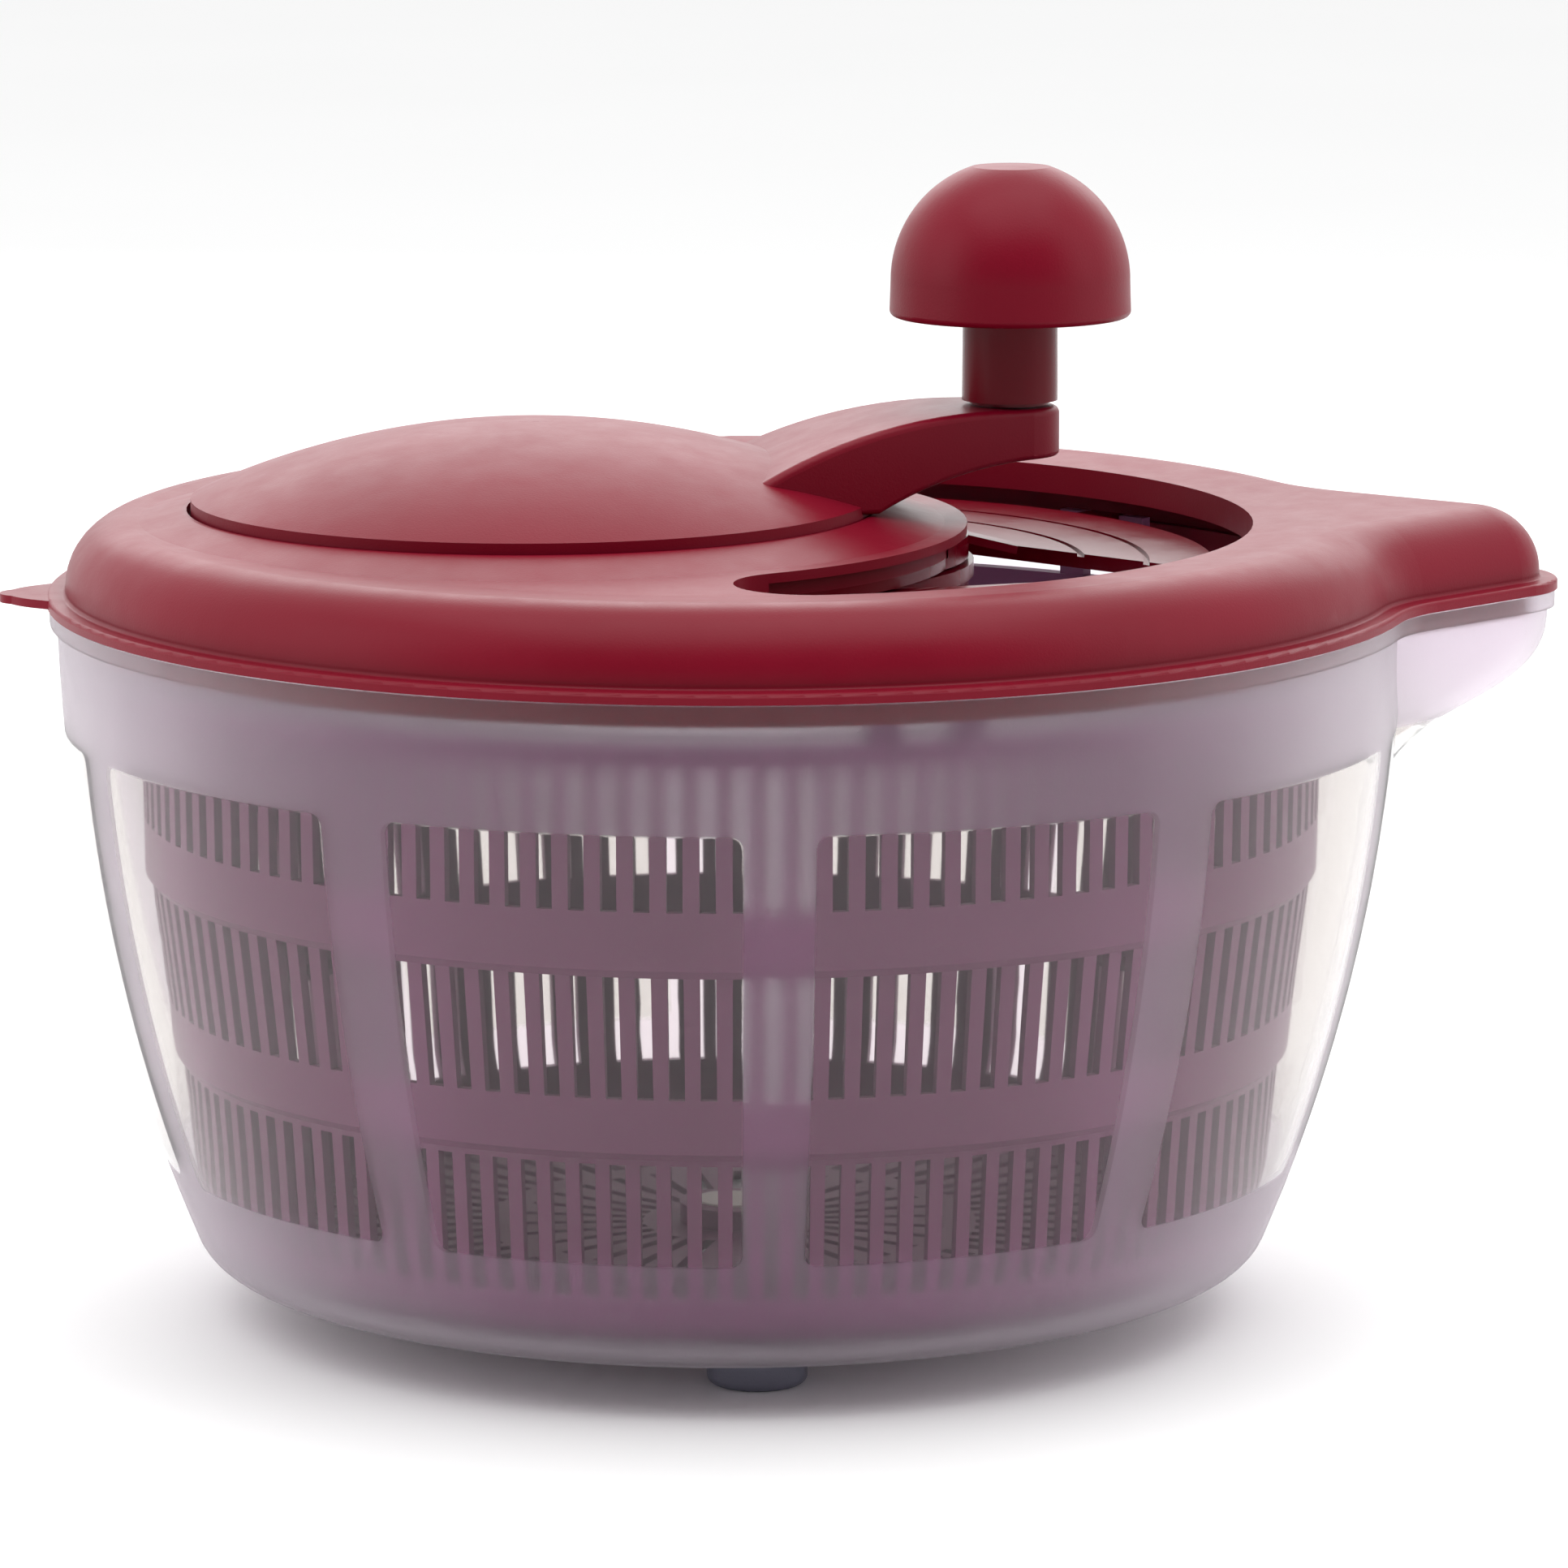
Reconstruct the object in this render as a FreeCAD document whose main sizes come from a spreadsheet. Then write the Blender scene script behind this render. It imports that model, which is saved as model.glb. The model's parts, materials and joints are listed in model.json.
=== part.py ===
import FreeCAD, Part
import math
import os
import re

import Sketcher

# A hand-cranked salad spinner: a footed bowl with a pouring spout, a slotted basket that turns inside
# it, and a lid with a geared crank. Origin on the table under the bowl's axis, +Z up, +X to the spout.
# Two vertical axes matter: the bowl axis (x = 0) and the crank axis (x = -gear_offset).

SIZES = {
    # Frame: its origin is on the table under the middle of the object's length
    "bowl_axis_x": -10.0,
    # Bowl
    "base_z": 5.3,              # underside of the bowl above the table
    "base_radius": 76.0,
    "heel_radius_in": 94.0,     # where the sloping underside meets the heel round
    "heel_rise": 4.3,
    "heel_round": 8.5,
    "foot_radius_of_wall": 102.7,
    "foot_rise": 10.0,
    "wall_round": 327.0,        # the side wall is one long arc
    "rim_radius": 127.2,
    "rim_z": 135.4,
    "bowl_wall": 2.2,
    "rim_lip": 3.0,
    "rim_inset": 0.5,           # lip edge inside the lid's flange edge
    # Plan outline shared by the lid and the bowl's rim
    "flange_radius": 129.0,
    "spout_tip_centre": 140.0,
    "spout_tip_round": 18.0,
    "spout_side_angle": 40.7,   # degrees between a spout side and the X axis
    "spout_blend": 32.0,
    # Feet and pivot
    "foot_ring_radius": 68.5,
    "rubber_foot_radius": 9.25,
    "foot_socket_radius": 6.0,
    "foot_socket_depth": 2.6,
    "pivot_radius": 3.0,
    "pivot_top": 16.2,
    # Lid
    "flange_z": 135.7,
    "flange_thick": 2.0,
    "lid_wall_inset": 3.5,
    "lid_skin": 2.2,
    "deck_z": 151.2,
    "shoulder_round": 12.4,
    "valley_z": 150.2,
    "opening_radius": 98.6,
    "opening_tip_round": 14.0,
    "opening_lip": 1.8,
    "opening_lip_z": 144.6,
    "collar_radius": 82.0,
    "collar_z": 149.2,
    "seat_radius": 66.0,
    "seat_z": 153.0,
    "recess_radius": 65.1,
    "recess_z": 150.3,
    "gear_hole_radius": 59.5,
    "ceiling_z": 148.4,         # underside of the lid's deck
    "flange_edge_round": 0.7,
    "skirt_z": 131.0,
    "skirt_gap": 3.0,
    "skirt_skin": 1.8,
    "tab_reach": 138.5,
    "tab_half_width": 12.0,
    # Gear case
    "case_z": 143.4,
    "case_plate": 2.0,
    "case_radius": 79.5,
    "case_bulge_radius": 45.0,
    "case_screw_ring": 71.5,
    "screw_boss_radius": 4.5,
    "shaft_sleeve_radius": 9.0,
    "crank_boss_radius": 11.0,
    "crank_boss_height": 12.2,
    "crank_bush_radius": 8.0,
    "bush_collar": 1.6,
    "shaft_bush_radius": 6.5,
    "washer_recess_radius": 8.6,
    "tongue_root": 42.4,        # just outside the lid's case wall
    "tongue_tip": 53.9,
    "screw_shank": 1.35,
    "screw_head": 2.8,
    "running_gap": 0.05,
    # Crank
    "gear_offset": 37.5,
    "disc_radius": 64.3,
    "disc_z": 150.8,
    "disc_edge_z": 155.0,
    "disc_round": 156.0,
    "disc_top": 169.0,
    "disc_skin": 2.4,
    "crank_radius": 90.4,
    "arm_end_radius": 9.4,
    "arm_top": 171.3,
    "arm_root_half_width": 31.0,
    "arm_edge_round": 1.4,
    "stub_radius": 6.0,
    "stub_z": 147.2,
    # Knob
    "stem_radius": 9.1,
    "knob_radius": 22.8,
    "knob_z": 188.2,
    "knob_round": 22.6,
    "knob_round_z": 195.0,
    "knob_flat_z": 216.4,
    "axle_radius": 3.0,
    # Gears
    "gear_module": 1.25,
    "ring_teeth": 80,
    "pinion_teeth": 20,
    "pressure_angle": 20,
    "backlash": 0.16,
    "gear_z": 146.2,
    "gear_face": 7.2,
    "ring_gear_radius": 57.5,
    "ring_screw_ring": 54.6,
    # Carrier that turns the basket
    "carrier_radius": 91.3,
    "carrier_top": 142.7,
    "carrier_plate": 2.8,
    "carrier_depth": 6.0,
    "carrier_hub": 45.0,
    "carrier_side_distance": 47.9,
    "carrier_angle": 43.8,      # degrees from +X to the middle of the first solid web
    "shaft_radius": 4.0,
    # Basket
    "basket_floor_z": 12.4,
    "basket_floor_radius": 84.0,
    "basket_heel_round": 20.0,
    "basket_skin": 1.8,
    "basket_rim_z": 126.5,
    "slot_count": 120,
    "slot_width": 2.9,
    "dog_top": 139.6,
}

# Underside of the spout: height above the table, reach from the bowl axis and tip round of each level.
SPOUT_LEVELS = (
    (97.0, 122.6, 34.0),
    (102.0, 125.6, 32.0),
    (106.0, 129.2, 27.0),
    (110.0, 133.8, 22.0),
    (114.0, 140.9, 18.0),
    (118.4, 148.6, 16.5),
    (121.8, 152.6, 16.2),
    (125.0, 154.8, 16.0),
    (129.0, 156.0, 16.0),
    (132.4, 156.1, 16.0),
)

doc = FreeCAD.newDocument("SaladSpinner")
sheet = doc.addObject("Spreadsheet::Sheet", "dims")


def fill_sheet():
    """One row per driving dimension: name in column A, value in column B with the name as alias."""
    for level, (height, reach, tip_round) in enumerate(SPOUT_LEVELS):
        SIZES["spout_level_z_%d" % level] = height
        SIZES["spout_reach_%d" % level] = reach
        SIZES["spout_round_%d" % level] = tip_round
    for row, (name, number) in enumerate(SIZES.items(), start=1):
        sheet.set("A%d" % row, name)
        sheet.set("B%d" % row, str(number))
        sheet.setAlias("B%d" % row, name)
    doc.recompute()


def cells(expression):
    """Turn bare dimension names in an expression into references to the sheet."""
    return re.sub(r"[a-z]\w*", lambda word: "dims." + word.group() if word.group() in SIZES else word.group(),
                  str(expression))


def number(expression):
    """The value of an expression of dimension names, in millimetres or degrees."""
    result = sheet.evalExpression(cells(expression))
    return float(getattr(result, "Value", result))


def move(item, x=0, y=0, z=0):
    for axis, expression in (("x", x), ("y", y), ("z", z)):
        item.setExpression("Placement.Base." + axis, cells(expression))


def place(item, x=0, y=0, z=0):
    """Put a finished sub-part at x, y, z from the foot of the bowl's axis."""
    move(item, "bowl_axis_x + (%s)" % x, y, z)


# ---------------------------------------------------------------- sketches

def new_body(label):
    body = doc.addObject("PartDesign::Body", label)
    body.Label = label
    return body


def new_sketch(body, name, plane="XY_Plane", height=None, shift=None):
    """A sketch on one of the body's own planes; height lifts it, shift moves it along its own x."""
    sketch = body.newObject("Sketcher::SketchObject", body.Label + "_" + name)
    sketch.AttachmentSupport = [(next(f for f in body.Origin.OriginFeatures if f.Role == plane), "")]
    sketch.MapMode = "FlatFace"
    if height is not None:
        sketch.setExpression("AttachmentOffset.Base.z", cells(height))
    if shift is not None:
        sketch.setExpression("AttachmentOffset.Base.x", cells(shift))
    return sketch


def point(x, y):
    return FreeCAD.Vector(x, y, 0)


def bind(sketch, kind, *arguments):
    """Add a dimensional constraint whose value is the expression in the last argument."""
    index = sketch.addConstraint(Sketcher.Constraint(kind, *arguments[:-1], number(arguments[-1])))
    sketch.setExpression("Constraints[%d]" % index, cells(arguments[-1]))


def pin_down(sketch, edge, end, x, y):
    """Tie one end of an edge to the coordinates x and y."""
    for kind, axis, expression in (("DistanceX", -2, x), ("DistanceY", -1, y)):
        if abs(number(expression)) < 1e-9:
            sketch.addConstraint(Sketcher.Constraint("PointOnObject", edge, end, axis))
        else:
            bind(sketch, kind, -1, 1, edge, end, expression)


def arc_between(start, end, radius):
    """Arc from start to end; a positive radius keeps its centre on the left of the way travelled."""
    chord = end - start
    middle = (start + end) * 0.5
    left = point(-chord.y, chord.x).normalize()
    side = math.copysign(1, radius)
    rise = abs(radius) - math.sqrt(radius ** 2 - (chord.Length / 2) ** 2)
    return Part.Arc(start, middle - left * side * rise, end)


def outline(sketch, corners):
    """Closed outline through corners (x, y) or (x, y, radius of the arc that leads to the next one)."""
    spots = [point(number(corner[0]), number(corner[1])) for corner in corners]
    first = sketch.GeometryCount
    ends = []
    for index, corner in enumerate(corners):
        start, end = spots[index], spots[(index + 1) % len(spots)]
        if len(corner) == 2:
            sketch.addGeometry(Part.LineSegment(start, end))
            ends.append((1, 2))
        else:
            radius = number(corner[2])
            sketch.addGeometry(arc_between(start, end, radius))
            ends.append((1, 2) if radius > 0 else (2, 1))
    for index, corner in enumerate(corners):
        edge = first + index
        following = first + (index + 1) % len(corners)
        sketch.addConstraint(Sketcher.Constraint(
            "Coincident", edge, ends[index][1], following, ends[(index + 1) % len(corners)][0]))
        pin_down(sketch, edge, ends[index][0], corner[0], corner[1])
        if len(corner) == 3:
            bind(sketch, "Radius", edge, "abs(%s)" % corner[2])


def circle(sketch, x, y, radius):
    edge = sketch.addGeometry(Part.Circle(point(number(x), number(y)), FreeCAD.Vector(0, 0, 1), number(radius)))
    pin_down(sketch, edge, 3, x, y)
    bind(sketch, "Radius", edge, radius)


def ring(sketch, outer, inner, x=0):
    circle(sketch, x, 0, outer)
    circle(sketch, x, 0, inner)


def rectangle(sketch, x1, y1, x2, y2):
    outline(sketch, ((x1, y1), (x2, y1), (x2, y2), (x1, y2)))


def teardrop(sketch, inset):
    """The lid's plan outline, moved inwards by inset: a circle with a round-tipped spout towards +X."""
    radius = number("flange_radius - (%s)" % inset)
    tip_round = number("spout_tip_round - (%s)" % inset)
    blend = number("spout_blend + (%s)" % inset)
    tip_x = number("spout_tip_centre")
    slope = math.radians(number("spout_side_angle"))
    normal = point(math.sin(slope), math.cos(slope))
    along = point(-math.cos(slope), math.sin(slope))
    side_distance = tip_x * normal.x + tip_round
    centre_distance = radius + blend
    from_line = side_distance + blend
    blend_centre = normal * from_line - along * math.sqrt(centre_distance ** 2 - from_line ** 2)
    tip_end = point(tip_x, 0) + normal * tip_round
    line_end = blend_centre - normal * blend
    circle_end = blend_centre * (radius / centre_distance)
    crease = (circle_end * 1.0 - blend_centre).normalize() - normal
    blend_middle = blend_centre + crease.normalize() * blend

    def low(spot):
        return point(spot.x, -spot.y)

    first = sketch.GeometryCount
    sketch.addGeometry([
        Part.Arc(circle_end, point(-radius, 0), low(circle_end)),
        Part.Arc(low(circle_end), low(blend_middle), low(line_end)),
        Part.LineSegment(low(line_end), low(tip_end)),
        Part.Arc(low(tip_end), point(tip_x + tip_round, 0), tip_end),
        Part.LineSegment(tip_end, line_end),
        Part.Arc(line_end, blend_middle, circle_end),
    ])
    joins = ((0, 2, 1, 2), (1, 1, 2, 1), (2, 2, 3, 1), (3, 2, 4, 1), (4, 2, 5, 2), (5, 1, 0, 1))
    for edge, end, following, start in joins:
        sketch.addConstraint(Sketcher.Constraint("Tangent", first + edge, end, first + following, start))
    pin_down(sketch, first, 3, 0, 0)
    pin_down(sketch, first + 3, 3, "spout_tip_centre", 0)
    bind(sketch, "Radius", first, "flange_radius - (%s)" % inset)
    bind(sketch, "Radius", first + 3, "spout_tip_round - (%s)" % inset)
    for blend_edge in (first + 1, first + 5):
        bind(sketch, "Radius", blend_edge, "spout_blend + (%s)" % inset)
    for side, angle in ((first + 2, "spout_side_angle * 1 deg"), (first + 4, "180 deg - spout_side_angle * 1 deg")):
        index = sketch.addConstraint(Sketcher.Constraint("Angle", side, math.radians(number(angle))))
        sketch.setExpression("Constraints[%d]" % index, cells(angle))


# ---------------------------------------------------------------- features

def pad(body, sketch, length, midplane=False):
    feature = body.newObject("PartDesign::Pad", sketch.Label + "_pad")
    feature.Profile = sketch
    feature.setExpression("Length", cells(length))
    if midplane:
        feature.Midplane = True
    return feature


def pocket(body, sketch, length=None, upward=False, midplane=False):
    """Cut downwards from the sketch, or upwards; all the way through when no length is given."""
    feature = body.newObject("PartDesign::Pocket", sketch.Label + "_pocket")
    feature.Profile = sketch
    if length is None:
        feature.Type = "ThroughAll"
    else:
        feature.setExpression("Length", cells(length))
    feature.Reversed = upward
    if midplane:
        feature.Midplane = True
    return feature


def turn(body, sketch, cut=False):
    """Revolve a sketch about its own vertical axis, adding or cutting."""
    kind = "PartDesign::Groove" if cut else "PartDesign::Revolution"
    feature = body.newObject(kind, sketch.Label + ("_groove" if cut else "_turn"))
    feature.Profile = sketch
    feature.ReferenceAxis = (sketch, ["V_Axis"])
    feature.Angle = 360
    return feature


def polar(body, features, sketch, axis, count):
    pattern = body.newObject("PartDesign::PolarPattern", features[0].Label + "_pattern")
    pattern.Originals = features
    pattern.Axis = (sketch, [axis])
    pattern.Angle = 360
    pattern.setExpression("Occurrences", cells(count))
    body.Tip = pattern
    return pattern


def round_edges(body, feature, radius, wanted):
    """Fillet the edges of a feature that the function wanted picks out."""
    doc.recompute()
    names = ["Edge%d" % (index + 1) for index, edge in enumerate(feature.Shape.Edges) if wanted(edge)]
    fillet = body.newObject("PartDesign::Fillet", feature.Label + "_fillet")
    fillet.Base = (feature, names)
    fillet.setExpression("Radius", cells(radius))
    return fillet


def level_edge(height):
    """Picks the edges that lie wholly at one height."""
    def wanted(edge):
        box = edge.BoundBox
        return abs(box.ZMin - number(height)) < 1e-3 and abs(box.ZMax - number(height)) < 1e-3
    return wanted


def turned(label, corners, x=0):
    """A sub-part made on a lathe: half its section in the XZ plane, turned about its own axis."""
    body = new_body(label)
    sketch = new_sketch(body, "section", "XZ_Plane")
    outline(sketch, corners)
    turn(body, sketch)
    place(body, x=x)
    return body


def cylinder(label, radius, height, x=0, y=0, z=0):
    item = doc.addObject("Part::Cylinder", label)
    item.setExpression("Radius", cells(radius))
    item.setExpression("Height", cells(height))
    move(item, x, y, z)
    return item


def screw_group(label, ring_radius, angles, head_z, head_height, shank_length, x=0, head="screw_head"):
    """Identical screws driven upwards, kept together as separate solids."""
    screws = []
    for index, angle in enumerate(angles):
        at_x = "%s + (%s) * cos(%d deg)" % (x, ring_radius, angle)
        at_y = "(%s) * sin(%d deg)" % (ring_radius, angle)
        cap = cylinder("%s_head_%d" % (label, index), head, head_height, at_x, at_y, head_z)
        shank = cylinder("%s_shank_%d" % (label, index), "screw_shank", shank_length, at_x, at_y,
                         "%s + %s" % (head_z, head_height))
        screw = doc.addObject("Part::Fuse", "%s_%d" % (label, index))
        screw.Base = cap
        screw.Tool = shank
        screws.append(screw)
    group = doc.addObject("Part::Compound", label)
    group.Label = label
    group.Links = screws
    place(group)
    return group


# ---------------------------------------------------------------- bowl and what stays with it

def spout_section(body, level, inset, lift):
    """One level of the spout: straight sides closing on a round tip, open end inside the bowl."""
    height = "spout_level_z_%d + %s" % (level, lift)
    tip = "(spout_round_%d - %s)" % (level, inset)
    centre = "(spout_reach_%d - spout_round_%d)" % (level, level)
    back = "80"
    side_x = "(%s + %s * sin(spout_side_angle * 1 deg))" % (centre, tip)
    side_y = "(%s * cos(spout_side_angle * 1 deg))" % tip
    back_y = "(%s + (%s - %s) * tan(spout_side_angle * 1 deg))" % (side_y, side_x, back)
    sketch = new_sketch(body, "spout_%d_%s" % (level, "inner" if inset != "0" else "outer"), height=height)
    outline(sketch, ((back, "-" + back_y), (side_x, "-" + side_y, tip), (side_x, side_y), (back, back_y)))
    return sketch


def spout_loft(body, kind, inset, lift):
    sketches = [spout_section(body, level, inset, lift) for level in range(len(SPOUT_LEVELS))]
    loft = body.newObject(kind, "spout_" + ("outer" if inset == "0" else "inner"))
    loft.Profile = sketches[0]
    loft.Sections = sketches[1:]
    return loft


def bowl_section(sketch, inset):
    """Half section of the bowl's solid form, moved inwards by the wall thickness for its hollow."""
    floor = "(base_z + %s)" % inset
    outline(sketch, (
        (0, floor),
        ("base_radius", floor),
        ("heel_radius_in", "%s + heel_rise" % floor, "heel_round - %s / 2" % inset),
        ("foot_radius_of_wall - %s" % inset, "base_z + foot_rise + %s / 2" % inset, "wall_round - %s" % inset),
        ("rim_radius - %s" % inset, "rim_z"),
        (0, "rim_z"),
    ))


def build_bowl():
    body = new_body("bowl")
    outside = new_sketch(body, "outside", "XZ_Plane")
    bowl_section(outside, "0")
    turn(body, outside)
    spout_loft(body, "PartDesign::AdditiveLoft", "0", "0")
    lip = new_sketch(body, "rim_lip", height="rim_z - rim_lip")
    teardrop(lip, "rim_inset")
    pad(body, lip, "rim_lip")
    inside = new_sketch(body, "inside", "XZ_Plane")
    bowl_section(inside, "bowl_wall")
    turn(body, inside, cut=True)
    spout_loft(body, "PartDesign::SubtractiveLoft", "bowl_wall", "bowl_wall * 0.58")
    mouth = new_sketch(body, "spout_mouth", height="rim_z")
    teardrop(mouth, "rim_inset + 1.5 + bowl_wall")
    pocket(body, mouth, "rim_lip + 1")
    bosses = new_sketch(body, "floor_bosses", height="base_z + bowl_wall / 2")
    circle(bosses, 0, 0, 10)
    pad(body, bosses, "4.2 - bowl_wall / 2")
    foot_boss = new_sketch(body, "foot_boss", height="base_z + bowl_wall / 2")
    circle(foot_boss, 0, "-foot_ring_radius", "rubber_foot_radius")
    boss_pad = pad(body, foot_boss, "3.2 + bowl_wall / 2")
    polar(body, [boss_pad], foot_boss, "N_Axis", 4)
    socket = new_sketch(body, "foot_socket", height="base_z")
    circle(socket, 0, "-foot_ring_radius", "foot_socket_radius")
    socket_cut = pocket(body, socket, "foot_socket_depth", upward=True)
    polar(body, [socket_cut], socket, "N_Axis", 4)
    pin_hole = new_sketch(body, "pin_hole", height="base_z + 4.2")
    circle(pin_hole, 0, 0, "pivot_radius")
    pocket(body, pin_hole, 3)
    place(body)
    return body


def build_feet():
    """Four rubber feet, each with a stub in its blind socket under the bowl."""
    places = (("foot_front", 0, -1), ("foot_right", 1, 0), ("foot_back", 0, 1), ("foot_left", -1, 0))
    feet = []
    for label, x_side, y_side in places:
        body = new_body(label)
        section = new_sketch(body, "section", "XZ_Plane")
        outline(section, (
            (0, 0),
            ("rubber_foot_radius - 1.6", 0, 1.6),
            ("rubber_foot_radius", 1.6),
            ("rubber_foot_radius", "base_z"),
            ("foot_socket_radius", "base_z"),
            ("foot_socket_radius", "base_z + foot_socket_depth"),
            (0, "base_z + foot_socket_depth"),
        ))
        turn(body, section)
        place(body, x="%d * foot_ring_radius" % x_side, y="%d * foot_ring_radius" % y_side)
        feet.append(body)
    return feet


def build_pivot_pin():
    """Steel pin in the bowl's floor boss, with a collar, that the basket turns on."""
    floor = "(base_z + 4.2)"
    return turned("pivot_pin", (
        (0, floor + " - 3"),
        ("pivot_radius", floor + " - 3"),
        ("pivot_radius", floor),
        ("pivot_radius + 2", floor),
        ("pivot_radius + 2", floor + " + 0.7"),
        ("pivot_radius", floor + " + 0.7"),
        ("pivot_radius", "pivot_top - 1"),
        ("pivot_radius - 1", "pivot_top"),
        (0, "pivot_top"),
    ))


# ---------------------------------------------------------------- lid

def crescent_tip():
    """Centre of the round at each end of the fill opening, tangent to the opening and the collar."""
    outer = number("opening_radius - opening_tip_round")
    inner = number("collar_radius + opening_tip_round")
    offset = number("gear_offset")
    x = (inner ** 2 - outer ** 2 - offset ** 2) / (2 * offset)
    return point(x, math.sqrt(outer ** 2 - x ** 2))


def crescent_edges(grow):
    """The fill opening's outline enlarged by grow: outer arc, two round ends and the collar's arc."""
    tip = crescent_tip()
    tip_round = number("opening_tip_round") + grow
    outer = number("opening_radius") + grow
    collar = number("collar_radius") - grow
    gear = point(-number("gear_offset"), 0)
    on_outer = tip * (outer / tip.Length)
    to_tip = (tip - gear).normalize()
    on_collar = gear + to_tip * collar
    inward = (on_outer - tip).normalize() + (on_collar - tip).normalize()
    if inward.x > 0:
        inward = inward * -1
    tip_middle = tip + inward.normalize() * tip_round

    def low(spot):
        return point(spot.x, -spot.y)

    outer_arc = Part.Arc(low(on_outer), point(outer, 0), on_outer)
    far_tip = Part.Arc(on_outer, tip_middle, on_collar)
    collar_arc = Part.Arc(on_collar, gear + point(collar, 0), low(on_collar))
    near_tip = Part.Arc(low(on_collar), low(tip_middle), low(on_outer))
    return outer_arc, far_tip, collar_arc, near_tip


def join_up(sketch, first, count, ends):
    """Coincident joins round a closed run of edges; ends holds each edge's (start, finish)."""
    for index in range(count):
        following = (index + 1) % count
        sketch.addConstraint(Sketcher.Constraint(
            "Coincident", first + index, ends[index][1], first + following, ends[following][0]))


def opening_outline(sketch):
    first = sketch.GeometryCount
    sketch.addGeometry(list(crescent_edges(0)))
    join_up(sketch, first, 4, ((1, 2), (1, 2), (2, 1), (1, 2)))
    pin_down(sketch, first, 3, 0, 0)
    bind(sketch, "Radius", first, "opening_radius")
    pin_down(sketch, first + 2, 3, "-gear_offset", 0)
    bind(sketch, "Radius", first + 2, "collar_radius")


def opening_lip_outline(sketch):
    """The band round the outer side and both ends of the fill opening."""
    outer_arc, far_tip, collar_arc, near_tip = crescent_edges(0)
    outer_lip, far_lip, collar_lip, near_lip = crescent_edges(number("opening_lip"))
    first = sketch.GeometryCount
    sketch.addGeometry([
        outer_arc, far_tip,
        Part.LineSegment(collar_arc.StartPoint, collar_lip.StartPoint),
        far_lip, outer_lip, near_lip,
        Part.LineSegment(collar_lip.EndPoint, collar_arc.EndPoint),
        near_tip,
    ])
    join_up(sketch, first, 8, ((1, 2), (1, 2), (1, 2), (2, 1), (2, 1), (2, 1), (1, 2), (1, 2)))


def build_lid_hollow():
    """The space inside the lid: its outline a skin's thickness in, with the shoulder's round on top."""
    body = new_body("lid_hollow")
    block = new_sketch(body, "block", height="flange_z - 1")
    teardrop(block, "lid_wall_inset + lid_skin")
    raised = pad(body, block, "ceiling_z - flange_z + 1")
    round_edges(body, raised, "shoulder_round - lid_skin", level_edge("ceiling_z"))
    return body


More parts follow.
